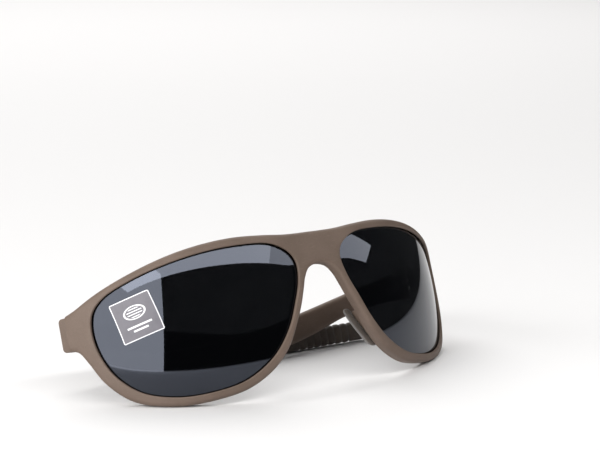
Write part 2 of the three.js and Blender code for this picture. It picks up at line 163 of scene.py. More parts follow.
# plates behind each nose arm: depths, heights, distances out from the nose and edge rounding
NOSE_WING = {"front": 2.4, "back": 10.2, "top": -4.5, "bottom": -15,
             "inner": 0.2, "outer": 1.4, "edge": 0.35}
NOSE_CUSHION = {"front": 4.9, "back": 11.4, "top": -3.6, "bottom": -15.8,
                "inner": -1.9, "outer": NOSE_WING["inner"] - PAD_SLIT, "edge": 0.85}

# ---- studio, in metres, degrees and scene-linear light ----
ROOM_COLOUR = (0.04, 0.041, 0.043)
CEILING_PLACE = (0.6, 1.6, 1.5)
CEILING_SIZE = (2.8, 2.6)
CEILING_RADIANCE = 2.4
CEILING_COLOUR = (1.0, 0.985, 0.965)
STRIP_HEIGHT = 0.8
STRIP_NEAR, STRIP_FAR = 1.1, 0.66  # front and back edges in front of the glasses, in heights
STRIP_AZIMUTH = math.radians(-5)
STRIP_PARTS = [(-1.95, 0.75, 5.2), (0.75, 1.95, 3.1)]  # left and right ends, in heights, and radiance
SIDE_AZIMUTHS = (math.radians(-46.5), math.radians(-118))
SIDE_DISTANCE = 0.9
SIDE_HEIGHT = 0.8
SIDE_RADIANCE = 4.0
LAMP_COLOUR = (1.0, 0.99, 0.97)  # of the strip and the side softbox
FLOOR_HALF = 3.0

# ---- outlines on the unrolled front: (arc length from the middle, height) ----
BROW = [(0, 20.8), (9, 20.9), (17, 21.6), (26, 22.1), (36, 21.6), (47, 19.9), (59.6, 16.6), (70, 13.1),
        (78, 9.8), (SPLIT_ARC, ENDPIECE_TOP)]
LOWER_EDGE = [(SPLIT_ARC, ENDPIECE_BOTTOM), (79.5, -2.9), (76.6, -6.6), (72, -13), (63.5, -19.6),
              (51.5, -23), (40, -23.4), (28.8, -21.7), (20.4, -17.2), (15.2, -11.7), (11.9, -5.7),
              (9.4, -0.8), (7.2, 4.4), (5.9, 7.4), (3.7, 10), (0, 10.9)]
LENS_OPENING = [(8, 11.5), (8.9, 6.3), (11.3, 0.6), (15.4, -7.4), (21.2, -14.2), (29.8, -19.2),
                (40, -20.9), (50.5, -20.5), (61, -17.3), (69, -10.8), (73, -3.5), (73.9, 2.8),
                (72.6, 7.5), (68.4, 11.2), (58.8, 14.8), (47.3, 17.6), (35.6, 19.25), (25, 19.6),
                (16, 18.9), (11.4, 16.9), (8.9, 14.5)]

# ---- camera: where it stands from the design origin, in millimetres and degrees ----
CAMERA_AZIMUTH = math.radians(-36.22)
CAMERA_ELEVATION = math.radians(10.02)
CAMERA_BACK = 568.75
CAMERA_ASIDE = -8.31
CAMERA_RAISE = 21.66
CAMERA_LENS = 115.88
SENSOR_WIDTH = 36
NEAREST_SEEN = 0.01

MILLIMETRE = 0.001
split_turn = (SPLIT_ARC - BRIDGE_HALF) / WRAP_RADIUS
hinge_height = (ENDPIECE_TOP + ENDPIECE_BOTTOM) / 2


# ---- places ----

def wrap_point(arc, depth, height):
    """Design-frame points from arc length from the middle, depth behind the front surface, height."""
    arc, depth, height = np.broadcast_arrays(*[np.asarray(v, float) for v in (arc, depth, height)])
    turn = np.maximum(np.abs(arc) - BRIDGE_HALF, 0) / WRAP_RADIUS
    radius = WRAP_RADIUS - depth
    x = np.where(turn > 0, np.sign(arc) * (BRIDGE_HALF + radius * np.sin(turn)), arc)
    y = WRAP_RADIUS - radius * np.cos(turn) + height ** 2 / (2 * ARCH_RADIUS)
    return np.stack([x, y, height], axis=-1)


hinge_point = wrap_point(SPLIT_ARC, FRONT_THICKNESS + SEAT, 0)
hinge_point[2] = hinge_height
# rows are the hinge frame's axes: forwards along the endpiece, outwards, up
hinge_axes = np.array([[-math.cos(split_turn), -math.sin(split_turn), 0],
                       [math.sin(split_turn), -math.cos(split_turn), 0],
                       [0, 0, 1]])


def from_hinge(points):
    return hinge_point + np.asarray(points, float) @ hinge_axes


def rotation(angle):
    """The matrix that turns rows of two coordinates by an angle."""
    return np.array([[math.cos(angle), math.sin(angle)], [-math.sin(angle), math.cos(angle)]])


def leant(points):
    """Turns design-frame points back by the lean, about the X axis."""
    turned = np.array(points, float)
    turned[..., 1:] = turned[..., 1:] @ rotation(-LEAN)
    return turned


joint_of = {word: next(joint for joint in frame["joints"] if joint["name"] == f"temple_{word}_hinge")
            for word in ("left", "right")}
stand_offset = np.array(joint_of["left"]["pos_m"]) / MILLIMETRE - leant(hinge_point)


def in_row(points, side=1, fold=0):
    """Metres in the row frame of left-side design points: folded about the pin, mirrored, stood up."""
    turned = np.array(points, float)
    pin = hinge_point[:2]
    turned[..., :2] = pin + (turned[..., :2] - pin) @ rotation(fold)
    turned[..., 0] *= side
    return (leant(turned) + stand_offset) * MILLIMETRE


def hinge_place(side, fold=0):
    """The way from hinge-frame points to the row frame, on one side and with its temple folded."""
    return lambda points: in_row(from_hinge(points), side, fold)


# ---- outlines ----

def cubic(t, start, end, leave, arrive):
    """A cubic from start to end as t goes from 0 to 1, with the slopes it leaves and arrives at."""
    return ((2 * t ** 3 - 3 * t ** 2 + 1) * start + (t ** 3 - 2 * t ** 2 + t) * leave
            + (3 * t ** 2 - 2 * t ** 3) * end + (t ** 3 - t ** 2) * arrive)


def smooth_curve(points, closed=False, steps=24):
    """Dense points along a centripetal Catmull-Rom curve."""
    points = [np.array(p, float) for p in points]
    if closed:
        padded = [points[-1], *points, points[0], points[1]]
    else:
        padded = [2 * points[0] - points[1], *points, 2 * points[-1] - points[-2]]
    t = np.linspace(0, 1, steps, endpoint=False)[:, None]
    dense = []
    for before, start, end, after in zip(padded, padded[1:], padded[2:], padded[3:]):
        d0, d1, d2 = (np.linalg.norm(b - a) ** 0.5 for a, b in
                      ((before, start), (start, end), (end, after)))
        leave = ((start - before) / d0 - (end - before) / (d0 + d1) + (end - start) / d1) * d1
        arrive = ((end - start) / d1 - (after - start) / (d1 + d2) + (after - end) / d2) * d1
        dense.append(cubic(t, start, end, leave, arrive))
    if not closed:
        dense.append(points[-1][None])
    return np.concatenate(dense)


def lengths_round(points):
    """Lengths along a closed outline to each of its points, and once round."""
    sides = np.linalg.norm(np.roll(points, -1, axis=0) - points, axis=1)
    return np.concatenate([[0], np.cumsum(sides)])


def at_lengths(points, lengths, wanted):
    looped = np.vstack([points, points[:1]])
    return np.stack([np.interp(wanted, lengths, column) for column in looped.T], axis=1)


def outward_normals(points):
    """Unit normals of a counter-clockwise closed outline."""
    along = np.roll(points, -1, axis=0) - np.roll(points, 1, axis=0)
    normal = np.stack([along[:, 1], -along[:, 0]], axis=1)
    return normal / np.linalg.norm(normal, axis=1, keepdims=True)


def even_outline(points, count):
    lengths = lengths_round(points)
    return at_lengths(points, lengths, np.linspace(0, lengths[-1], count, endpoint=False))


def distance_to(points, line):
    """Distance of each point to a polyline."""
    starts = line[:-1]
    spans = line[1:] - starts
    best = np.full(len(points), np.inf)
    for start, span in zip(starts, spans):
        if not span.any():
            continue
        away = points - start
        along = np.clip(away @ span / (span @ span), 0, 1)
        best = np.minimum(best, np.linalg.norm(away - along[:, None] * span, axis=1))
    return best


def on_circle(angle):
    return np.stack([np.cos(angle), np.sin(angle)], axis=1)


def rounded_off(distance, radius):
    """How deep a rounded edge lies at a distance in from it."""
    inside = np.clip(radius - distance, 0, radius)
    return radius - np.sqrt(np.maximum(radius ** 2 - inside ** 2, 0))


def corner_rows(radius, steps):
    """Distances in from an edge, from 0 to the radius, that sample its rounding evenly."""
    return radius * (1 - np.cos(np.linspace(0, math.pi / 2, steps + 1)))


# ---- meshes ----

def in_scene(name, data):
    """A new object in the scene, made of a mesh, light or camera."""
    thing = bpy.data.objects.new(name, data)
    bpy.context.scene.collection.objects.link(thing)
    return thing


def new_piece(name, vertices, faces, sharp_angle=SHARP_ANGLE):
    """A smooth-shaded closed mesh object with edges over an angle kept sharp."""
    mesh = bpy.data.meshes.new(name)
    mesh.from_pydata([tuple(v) for v in vertices], [], faces)
    piece = in_scene(name, mesh)
    finish_mesh(piece, sharp_angle)
    return piece


def finish_mesh(piece, sharp_angle=SHARP_ANGLE):
    """Joins equal corners, drops loose ones, turns faces outwards and shades smooth."""
    edit = bmesh.new()
    edit.from_mesh(piece.data)
    size = max(piece.dimensions)
    bmesh.ops.remove_doubles(edit, verts=edit.verts, dist=1e-5 * size)
    bmesh.ops.dissolve_degenerate(edit, dist=1e-6 * size, edges=edit.edges)
    bmesh.ops.delete(edit, geom=[v for v in edit.verts if not v.link_faces], context="VERTS")
    bmesh.ops.recalc_face_normals(edit, faces=edit.faces)
    edit.to_mesh(piece.data)
    edit.free()
    piece.data.polygons.foreach_set("use_smooth", [True] * len(piece.data.polygons))
    piece.data.set_sharp_from_angle(angle=math.radians(sharp_angle))


def applied(piece):
    """Makes a piece's modifiers permanent."""
    graph = bpy.context.evaluated_depsgraph_get()
    mesh = bpy.data.meshes.new_from_object(piece.evaluated_get(graph))
    piece.modifiers.clear()
    piece.data = mesh
    finish_mesh(piece)
    return piece


def combined(piece, tool, operation):
    """Joins a piece with a tool object, or cuts it by the tool, which is used up."""
    modifier = piece.modifiers.new("combine", "BOOLEAN")
    modifier.operation = operation
    modifier.solver = "EXACT"
    modifier.object = tool
    applied(piece)
    bpy.data.objects.remove(tool)
    return piece


def softened(piece, width):
    """Rounds a piece's sharp edges."""
    modifier = piece.modifiers.new("soften", "BEVEL")
    modifier.width = width
    modifier.segments = 2
    modifier.limit_method = "ANGLE"
    modifier.angle_limit = math.radians(HINGE_SHARP_ANGLE)
    modifier.use_clamp_overlap = True
    return applied(piece)


def settled(piece, place):
    """Moves a piece made in the hinge frame's millimetres to its place in the row frame."""
    spots = np.empty(3 * len(piece.data.vertices))
    piece.data.vertices.foreach_get("co", spots)
    piece.data.vertices.foreach_set("co", place(spots.reshape(-1, 3)).ravel())
    piece.data.update()
    finish_mesh(piece, HINGE_SHARP_ANGLE)
    return piece


def closed_rings(rings):
    """Vertices and faces of a closed body through rings of equal size, with a fan at each end."""
    size = len(rings[0])
    vertices = np.concatenate([*rings, [rings[0].mean(axis=0)], [rings[-1].mean(axis=0)]])
    first, last = len(rings) * size, len(rings) * size + 1
    faces = []
    for r in range(len(rings) - 1):
        for i in range(size):
            a, b = r * size + i, r * size + (i + 1) % size
            faces.append((a, b, b + size, a + size))
    for i in range(size):
        a, b = i, (i + 1) % size
        faces.append((b, a, first))
        faces.append((a + last - 1 - size, b + last - 1 - size, last))
    return vertices, faces


def ring_piece(name, rings, side, fold=0, sharp_angle=SHARP_ANGLE):
    """The closed piece through rings in the design frame, put in the row frame."""
    return new_piece(name, *closed_rings([in_row(ring, side, fold) for ring in rings]), sharp_angle)


def plate_rings(outline, low, high, round_radius, rings, corner_steps=3):
    """Rings of a plate over a star-shaped outline, between two levels, with rounded edges."""
    normal = outward_normals(outline)
    inset = outline - round_radius * normal
    centre = outline.mean(axis=0)
    spread = [centre + (inset - centre) * (k + 0.3) / (rings + 0.3) for k in range(rings)]
    rows = [(flat, 0.0) for flat in spread]
    for angle in np.linspace(0, math.pi / 2, corner_steps + 1):
        rows.append((inset + round_radius * math.sin(angle) * normal, round_radius * (1 - math.cos(angle))))
    layers = [(flat, low + rise) for flat, rise in rows]
    layers += [(flat, high - rise) for flat, rise in reversed(rows)]
    return [np.insert(flat, 2, level, axis=1) for flat, level in layers]


# ---- materials ----

class Nodes:
    """A new node material with its shader, and short ways to add and join nodes."""

    def __init__(self, name):
        self.material = bpy.data.materials.new(name)
        self.material.use_nodes = True
        self.tree = self.material.node_tree

    def feed(self, value, socket):
        """Joins an output to a socket, or sets the socket to a number, vector or RGB triple."""
        if isinstance(value, bpy.types.NodeSocket):
            self.tree.links.new(value, socket)
        elif socket.type == "RGBA":
            socket.default_value = (*value, 1)
        else:
            socket.default_value = value

    def add(self, kind, inputs=None, **settings):
        node = self.tree.nodes.new(kind)
        for key, value in settings.items():
            setattr(node, key, value)
        for key, value in (inputs or {}).items():
            self.feed(value, node.inputs[key])
        return node

    def place(self):
        return self.add("ShaderNodeTexCoord").outputs["Object"]

    def noise(self, scale, detail=2, roughness=0.5, vector=None):
        """Noise with features per metre."""
        inputs = {"Scale": scale, "Detail": detail, "Roughness": roughness, "Vector": vector or self.place()}
        return self.add("ShaderNodeTexNoise", inputs).outputs["Fac"]

    def stretched(self, scale, turn=(0, 0, 0)):
        """Places to sample noise at, so that it is drawn out along lines."""
        inputs = {"Scale": scale, "Rotation": turn, "Vector": self.place()}
        return self.add("ShaderNodeMapping", inputs).outputs["Vector"]

    def scratches(self, scale, turn):
        """Sparse thin lines along one direction, 0 to 1."""
        lines = self.noise(scale, detail=1, vector=self.stretched((1, 16, 16), (0.4, 0.3, turn)))
        return self.spread(lines, 0.71, 0.77)

    def spread(self, value, low, high, to_low=0, to_high=1):
        """A value moved from one range to another, clamped."""
        inputs = {"Value": value, "From Min": low, "From Max": high, "To Min": to_low, "To Max": to_high}
        return self.add("ShaderNodeMapRange", inputs).outputs["Result"]

    def maths(self, operation, *values):
        return self.add("ShaderNodeMath", dict(enumerate(values)), operation=operation).outputs["Value"]

    def blend(self, amount, first, second):
        """A colour between two, given as sockets or RGB triples."""
        return self.add("ShaderNodeMix", {"Factor": amount, 6: first, 7: second}, data_type="RGBA").outputs[2]

    def bump(self, height, depth, strength=1.0, **under):
        """Bump from a 0 to 1 height that stands for a depth in millimetres, over another Normal if given."""
        inputs = {"Strength": strength, "Distance": depth * MILLIMETRE, "Height": height, **under}
        return self.add("ShaderNodeBump", inputs).outputs["Normal"]

    def set(self, **values):
        """Sets shader inputs by names with underscores for spaces."""
        for key, value in values.items():
            self.feed(value, self.tree.nodes["Principled BSDF"].inputs[key.replace("_", " ")])


def linear(red, green, blue):
    """A scene-linear colour from 0-255 display values."""
    return tuple((v / 255 / 12.92) if v / 255 <= 0.04045 else ((v / 255 + 0.055) / 1.055) ** 2.4
                 for v in (red, green, blue))


def nylon_material():
    """Matte tan moulded nylon: cloudy tone, fine spark-eroded grain, faint scuffs, satin sheen."""
    n = Nodes("moulded_nylon")
    clouds = n.noise(90, detail=3)
    speckle = n.noise(4200, detail=2, roughness=0.7)
    scuffs = n.maths("MAXIMUM", n.scratches(260, 0.5), n.scratches(330, 2.1))
    body = n.blend(n.spread(clouds, 0.35, 0.65), linear(97, 82, 72), linear(107, 91, 81))
    grain = n.blend(n.spread(speckle, 0.35, 0.7, 0, 0.4), body, linear(81, 68, 58))
    worn = n.blend(n.maths("MULTIPLY", scuffs, 0.22), grain, linear(144, 128, 114))
    fine = n.bump(speckle, 0.02, 0.5)
    soft = n.bump(n.noise(700, detail=2), 0.03, 0.25, Normal=fine)
    rough = n.spread(speckle, 0.3, 0.7, 0.5, 0.66)
    n.set(Base_Color=worn, Roughness=n.maths("SUBTRACT", rough, n.maths("MULTIPLY", scuffs, 0.12)),
          Normal=soft, IOR=1.53, Specular_IOR_Level=0.35)
    return n.material


def lens_material():
    """Dark neutral grey polarised polycarbonate, nearly black, with a blue-grey sheen and hairlines."""
    n = Nodes("grey_lens")
    haze = n.noise(160, detail=3)
    hairlines = n.maths("MAXIMUM", n.scratches(120, 1.1), n.scratches(90, 2.7))
    rough = n.spread(haze, 0.3, 0.7, 0.012, 0.03)
    cloudy = n.spread(haze, 0.35, 0.65)
    n.set(Base_Color=n.blend(cloudy, (0.003, 0.0033, 0.0036), (0.0045, 0.0048, 0.0053)),
          Roughness=n.maths("ADD", rough, n.maths("MULTIPLY", hairlines, 0.05)), IOR=1.59,
          Transmission_Weight=1.0, Specular_Tint=(0.74, 0.81, 1.0),
          Normal=n.bump(n.noise(60, detail=1), 0.02, 0.2))
    return n.material


def rubber_material(name, low, high):
    """Soft matte rubber with a dusty bloom and a fine grain."""
    n = Nodes(name)
    bloom = n.noise(260, detail=4)
    grain = n.noise(3200, detail=2, roughness=0.6)
    n.set(Base_Color=n.blend(n.spread(bloom, 0.35, 0.68), low, high),
          Roughness=n.spread(bloom, 0.3, 0.7, 0.72, 0.88), Sheen_Weight=0.25, Sheen_Roughness=0.5,
          Normal=n.bump(grain, 0.03, 0.5), IOR=1.5)
    return n.material


def steel_material():
    """Brushed stainless steel with faint drawn lines and a few handling marks."""
    n = Nodes("hinge_steel")
    lines = n.noise(600, detail=2, vector=n.stretched((1, 1, 18)))
    marks = n.noise(350, detail=2)
    n.set(Base_Color=n.blend(n.spread(marks, 0.35, 0.7), (0.55, 0.54, 0.52), (0.63, 0.62, 0.6)),
          Metallic=1.0, Roughness=n.spread(lines, 0.3, 0.7, 0.26, 0.38), Normal=n.bump(lines, 0.004, 0.5))
    return n.material


def label_material():
    """Grey-mauve film with a white printed border, a plain hatched oval and two plain bars below it."""
    n = Nodes("label_film")
    flat = n.add("ShaderNodeUVMap").outputs["UV"]
    u, v, _ = n.add("ShaderNodeSeparateXYZ", {"Vector": flat}).outputs

    def inside(distance):
        """1 where a distance, in label widths, is below zero, with a soft edge."""
        return n.spread(distance, -0.004, 0.004, 1, 0)

    def past(value, centre, half):
        """How far a value is past a half width on either side of a centre."""
        return n.maths("SUBTRACT", n.maths("ABSOLUTE", n.maths("SUBTRACT", value, centre)), half)

    def bar(centre_u, centre_v, half_u, half_v):
        return inside(n.maths("MAXIMUM", past(u, centre_u, half_u), past(v, centre_v, half_v)))

    def from_oval(centre_u, centre_v, half_u, half_v):
        """About how far a place lies outside an oval."""
        du = n.maths("POWER", n.maths("DIVIDE", n.maths("SUBTRACT", u, centre_u), half_u), 2)
        dv = n.maths("POWER", n.maths("DIVIDE", n.maths("SUBTRACT", v, centre_v), half_v), 2)
        return n.maths("MULTIPLY", n.maths("SUBTRACT", n.maths("SQRT", n.maths("ADD", du, dv)), 1.0), half_v)

    oval = from_oval(0.5, 0.63, 0.25, 0.15)
    outline = inside(n.maths("SUBTRACT", n.maths("ABSOLUTE", oval), 0.013))
    ripple = n.maths("ABSOLUTE", n.maths("SUBTRACT", n.maths("FRACT", n.maths("MULTIPLY", v, 16.0)), 0.5))
    hatch = n.maths("MULTIPLY", n.spread(ripple, 0.16, 0.22, 1, 0), inside(n.maths("ADD", oval, 0.035)))
    border = n.maths("SUBTRACT", 1.0, bar(0.5, 0.5, 0.476, 0.476))
    printed = border
    for mark in (outline, hatch, bar(0.5, 0.31, 0.3, 0.022), bar(0.5, 0.21, 0.18, 0.022)):
        printed = n.maths("MAXIMUM", printed, mark)
    mottle = n.noise(500, detail=3)
    film = n.blend(n.spread(mottle, 0.3, 0.7), linear(92, 90, 98), linear(102, 100, 108))
    n.set(Base_Color=n.blend(printed, film, linear(232, 232, 236)), IOR=1.5,
          Roughness=n.spread(mottle, 0.3, 0.7, 0.32, 0.45), Normal=n.bump(n.noise(260, detail=2), 0.03, 0.3))
    return n.material


def floor_material():
    n = Nodes("pale_floor")
    n.set(Base_Color=(0.8, 0.8, 0.81), Roughness=0.8)
    return n.material


# ---- the front ----

def front_edge(half):
    """The smooth curve through a half outline and its mirror image, from the seam to the split."""
    whole = [(-arc, height) for arc, height in reversed(half) if arc > 0] + list(half)
    edge = smooth_curve(whole)
    split = SPLIT_ARC - GAP / 2
    edge = edge[(edge[:, 0] > -1e-6) & (edge[:, 0] <= split)]
    edge[0, 0] = 0
    return np.vstack([edge, [split, edge[-1, 1]]])


def filled_line(start, end, step=0.2):
    count = max(2, int(np.linalg.norm(np.subtract(end, start)) / step) + 1)
    return np.linspace(start, end, count)


class Outline:
    """The front's closed right outline, and where straight lines from inside it come out."""

    def __init__(self, stretches):
        self.points = np.vstack(stretches)
        self.spans = np.roll(self.points, -1, axis=0) - self.points
        self.lengths = lengths_round(self.points)
        starts = np.cumsum([0] + [len(stretch) for stretch in stretches[:-1]])
        self.corners = self.lengths[starts]

    def reach(self, point, way):
        """Length along the outline at which a line from a point first meets it."""
        away = self.points - point
        across = way[0] * self.spans[:, 1] - way[1] * self.spans[:, 0]
        across = np.where(np.abs(across) < 1e-12, 1e-12, across)
        distance = (away[:, 0] * self.spans[:, 1] - away[:, 1] * self.spans[:, 0]) / across
        share = (away[:, 0] * way[1] - away[:, 1] * way[0]) / across
        hit = (distance > 1e-6) & (share >= -1e-9) & (share <= 1 + 1e-9)
        nearest = np.argmin(np.where(hit, distance, np.inf))
        return self.lengths[nearest] + share[nearest] * (self.lengths[nearest + 1] - self.lengths[nearest])


def rim_strips(lower, brow):
    """Matching points round the lens opening and round the outline, and which of them are on the seam."""
    split = filled_line(lower[-1], brow[0])
    seam = filled_line(brow[-1], lower[0])
    outline = Outline([lower[:-1], split[:-1], brow[:-1], seam[:-1]])
    total = outline.lengths[-1]
    opening = smooth_curve(LENS_OPENING, closed=True, steps=60)
    normals = outward_normals(opening)
    reached = np.array([outline.reach(point, way) for point, way in zip(opening, normals)])
    start = reached[0]
    reached = np.append(np.maximum.accumulate((reached - start) % total), total)
    opening_lengths = lengths_round(opening)
    # sections are spaced evenly by the mean of the two outlines' lengths
    measure = opening_lengths / opening_lengths[-1] + reached / total
    wanted = np.linspace(0, 2, STRIPS, endpoint=False)
    outer_at = (np.interp(wanted, measure, reached) + start) % total
    for corner in outline.corners:
        away = np.abs((outer_at - corner + total / 2) % total - total / 2)
        outer_at[np.argmin(away)] = corner
    inner_at = np.interp(wanted, measure, opening_lengths)
    inner = at_lengths(opening, opening_lengths, inner_at)
    inner_normals = at_lengths(normals, opening_lengths, inner_at)
    outer = at_lengths(outline.points, outline.lengths, outer_at)
    on_seam = (outer_at >= outline.corners[3]) | (outer_at == 0)
    return inner, inner_normals, outer, on_seam


def squared_end(flat):
    """How far to draw the endpiece in, so that its end is flat although the front is arched."""
    near = np.clip((flat[..., 0] - SPLIT_ARC + SQUARED_LENGTH) / SQUARED_LENGTH, 0, 1)
    return near ** 2 * (3 - 2 * near) * math.sin(split_turn) * flat[..., 1] ** 2 / (2 * ARCH_RADIUS)


def rim_rows(inner, outer):
    """Points across each strip from the opening to the outline, closer together at both edges."""
    width = np.linalg.norm(outer - inner, axis=1)
    from_inner = corner_rows(OPENING_ROUND, OPENING_STEPS)
    from_outer = corner_rows(OUTER_ROUND, CORNER_STEPS)[::-1]
    start, end = from_inner[-1] / width, 1 - from_outer[0] / width
    shares = [d / width for d in from_inner]
    shares += [start + (end - start) * k / FACE_STEPS for k in range(1, FACE_STEPS)]
    shares += [1 - d / width for d in from_outer]
    return inner[:, None] + (outer - inner)[:, None] * np.stack(shares, axis=1)[..., None]


def rim_depths(flat, inner, lower, brow):
    """Depths of the front and back faces at points across the strips, with their edges rounded."""
    points, shape = flat.reshape(-1, 2), flat.shape[:2]
    whole_edges = [np.vstack([edge[::-1] * (-1, 1), edge]) for edge in (lower, brow[::-1])]
    to_edge = np.minimum(*[distance_to(points, line) for line in whole_edges])
    to_opening = distance_to(points, np.vstack([inner, inner[:1]]))
    to_opening.reshape(shape)[:, 0] = 0
    to_split = np.maximum(SPLIT_ARC - GAP / 2 - points[:, 0], 0)
    trimmed = np.maximum(rounded_off(to_opening, OPENING_ROUND), rounded_off(to_split, SPLIT_ROUND))
    front = np.maximum(rounded_off(to_edge, OUTER_ROUND), trimmed)
    back = FRONT_THICKNESS - np.maximum(rounded_off(to_edge, BACK_ROUND), trimmed)
    return front.reshape(shape), back.reshape(shape)


def strip_faces(size, wall, on_seam):
    """Quads that join the sections round the rim, left open where the outer wall is on the seam."""
    faces = []
    for j in range(STRIPS):
        following = (j + 1) % STRIPS
        for k in range(size):
            if on_seam[j] and on_seam[following] and k in wall:
                continue
            step = (k + 1) % size
            faces.append((j * size + k, following * size + k, following * size + step, j * size + step))
    return faces


def half_front():
    """Vertices (design frame) and faces of the front's left half, open at the seam."""
    lower, brow = front_edge(LOWER_EDGE[::-1]), front_edge(BROW)[::-1]
    inner, inner_normals, outer, on_seam = rim_strips(lower, brow)
    flat = rim_rows(inner, outer)
    front_depth, back_depth = rim_depths(flat, inner, lower, brow)
    arcs, heights = flat[..., 0] - squared_end(flat), flat[..., 1]

    # one section: front from the opening outwards, outer wall, back inwards, then the lens groove
    section = [wrap_point(arcs, front_depth, heights)]
    for share in (1 / 3, 2 / 3):
        depth = front_depth[:, -1:] + (back_depth[:, -1:] - front_depth[:, -1:]) * share
        section.append(wrap_point(arcs[:, -1:], depth, heights[:, -1:]))
    section.append(wrap_point(arcs, back_depth, heights)[:, ::-1])
    groove_out = inner + inner_normals * (LENS_TUCK + GAP)
    groove_front, groove_back = LENS_DEPTH - GAP, LENS_DEPTH + LENS_THICKNESS + GAP
    for place, depth in ((inner, groove_back), (groove_out, groove_back), (groove_out, groove_front),
                         (inner, groove_front)):
        section.append(wrap_point(place[:, :1], depth, place[:, 1:]))
    section = np.concatenate(section, axis=1)
    rows = flat.shape[1]
    faces = strip_faces(section.shape[1], range(rows - 1, rows + 2), on_seam)
    return section.reshape(-1, 3), faces


def leaf_pocket(way, place):
    """The space cut out of an endpiece (way 1) or arm (way -1) for its hinge leaf to lie in flat."""
    low, high = sorted((-way, way * (LEAF_LENGTH + POCKET_MARGIN)))
    half_height = LEAF_HALF_HEIGHT + POCKET_MARGIN
    outline = rectangle((low, -half_height), (high, half_height), POCKET_CORNER)
    return settled(hinge_solid(outline, -BARREL_RADIUS, SEAT + POCKET_DEPTH, 1), place)


def nose_point(depth, height, out):
    """Behind the nose arms: depth from the front surface, height, and distance out from the nose."""
    half_width = NOSE_HALF_WIDTH + NOSE_SLOPE * height + NOSE_CURVE * height ** 2
    flare = FLARE * np.maximum(depth - FLARE_START, 0) ** 2
    return np.stack([half_width + out + flare, NOSE_SET_BACK + depth, height], axis=-1)


def bezier(a, b, c, d, steps=14):
    t = np.linspace(0, 1, steps, endpoint=False)[:, None]
    a, b, c, d = (np.array(p, float) for p in (a, b, c, d))
    return (1 - t) ** 3 * a + 3 * t * (1 - t) ** 2 * b + 3 * t ** 2 * (1 - t) * c + t ** 3 * d


def nose_plate_rings(front, back, top, bottom, inner, outer, edge):
    """Rings of a rounded D-shaped plate behind a nose arm, in the design frame."""
    middle = (top + bottom) / 2
    bulge = 0.2 * (top - bottom)
    slant = 0.35 * (back - front)
    corner = 1.3 * edge
    outline = np.vstack([
        bezier((front + corner, bottom), (back, bottom), (back, middle - bulge), (back, middle)),
        bezier((back, middle), (back, middle + bulge), (back - slant, top), (front + corner, top)),
        bezier((front + corner, top), (front, top), (front, top), (front, top - corner), 6),
        filled_line((front, top - corner), (front, bottom + corner), 0.5)[:-1],
        bezier((front, bottom + corner), (front, bottom), (front, bottom), (front + corner, bottom), 6),
    ])
    outline = even_outline(outline, 80)
    return [nose_point(*ring.T) for ring in plate_rings(outline, inner, outer, edge, 6, 4)]


def front_frame():
    """Both halves of the front joined at the seam, with a wing behind each nose arm."""
    points, faces = half_front()
    count = len(points)
    both = np.vstack([in_row(points), in_row(points, -1)])
    both[:, 2] = np.maximum(both[:, 2], 0)  # the rims' lowest points are flat on the floor
    faces = faces + [tuple(count + i for i in reversed(face)) for face in faces]
    front = new_piece("front_frame_moulding", both, faces)
    for side in (1, -1):
        combined(front, ring_piece("nose_wing", nose_plate_rings(**NOSE_WING), side), "UNION")
        combined(front, leaf_pocket(1, hinge_place(side)), "DIFFERENCE")
    return front


def lens(side):
    """A curved blank that reaches a little into the rim all round."""
    opening = smooth_curve(LENS_OPENING, closed=True, steps=40)
    outline = even_outline(opening + LENS_TUCK * outward_normals(opening), 168)
    rings = plate_rings(outline, LENS_DEPTH, LENS_DEPTH + LENS_THICKNESS, LENS_EDGE_ROUND, 22)
    rings = [wrap_point(ring[:, 0], ring[:, 2], ring[:, 1]) for ring in rings]
    return ring_piece("lens_blank", rings, side, sharp_angle=60)


def lens_label():
    """The film stuck on the wearer's right lens, with the place on it as its UV."""
    half = LABEL_SIZE / 2
    outline = even_outline(rounded_box(half, half, LABEL_CORNER, 5, 1), 96)
    low = LENS_DEPTH - LABEL_LIFT - LABEL_FILM
    rings = plate_rings(outline, low, low + LABEL_FILM, LABEL_EDGE, 14, 2)
    to_size = (LABEL_WIDTH / LABEL_SIZE, 1)
    placed = []
    for ring in rings:
        spot = (ring[:, :2] * to_size) @ rotation(LABEL_TURN) + (LABEL_ARC, LABEL_HEIGHT)
        placed.append(in_row(wrap_point(spot[:, 0], ring[:, 2], spot[:, 1])))
    vertices, faces = closed_rings(placed)
    flat = np.vstack([*[ring[:, :2] for ring in rings], [[0, 0]], [[0, 0]]]) / LABEL_SIZE + 0.5
    piece = new_piece("lens_label_film", vertices, faces)
    layer = piece.data.uv_layers.new(name="label")
    nearest = {tuple(np.round(v, 7)): uv for v, uv in zip(vertices.astype(np.float32).astype(float), flat)}
    for loop in piece.data.loops:
        key = tuple(np.round(piece.data.vertices[loop.vertex_index].co, 7))
        layer.data[loop.index].uv = nearest.get(key, (0.5, 0.5))
    return piece


def nose_pad(side):
    return ring_piece("nose_pad_soft", nose_plate_rings(**NOSE_CUSHION), side, sharp_angle=80)


# ---- the temple ----

def edge_height(points, distance):
    """Height of the arm's top or bottom edge at a distance from the hinge, smoothly through its points."""
    places = [p[0] for p in points]
    following = max(1, int(np.searchsorted(places, distance)))
    (x0, z0), (x1, z1) = points[following - 1], points[following]

    def slope(i):
        a, b = points[max(i - 1, 0)], points[min(i + 1, len(points) - 1)]
        return (b[1] - a[1]) / (b[0] - a[0])

    span = x1 - x0
    return cubic((distance - x0) / span, z0, z1, span * slope(following - 1), span * slope(following))


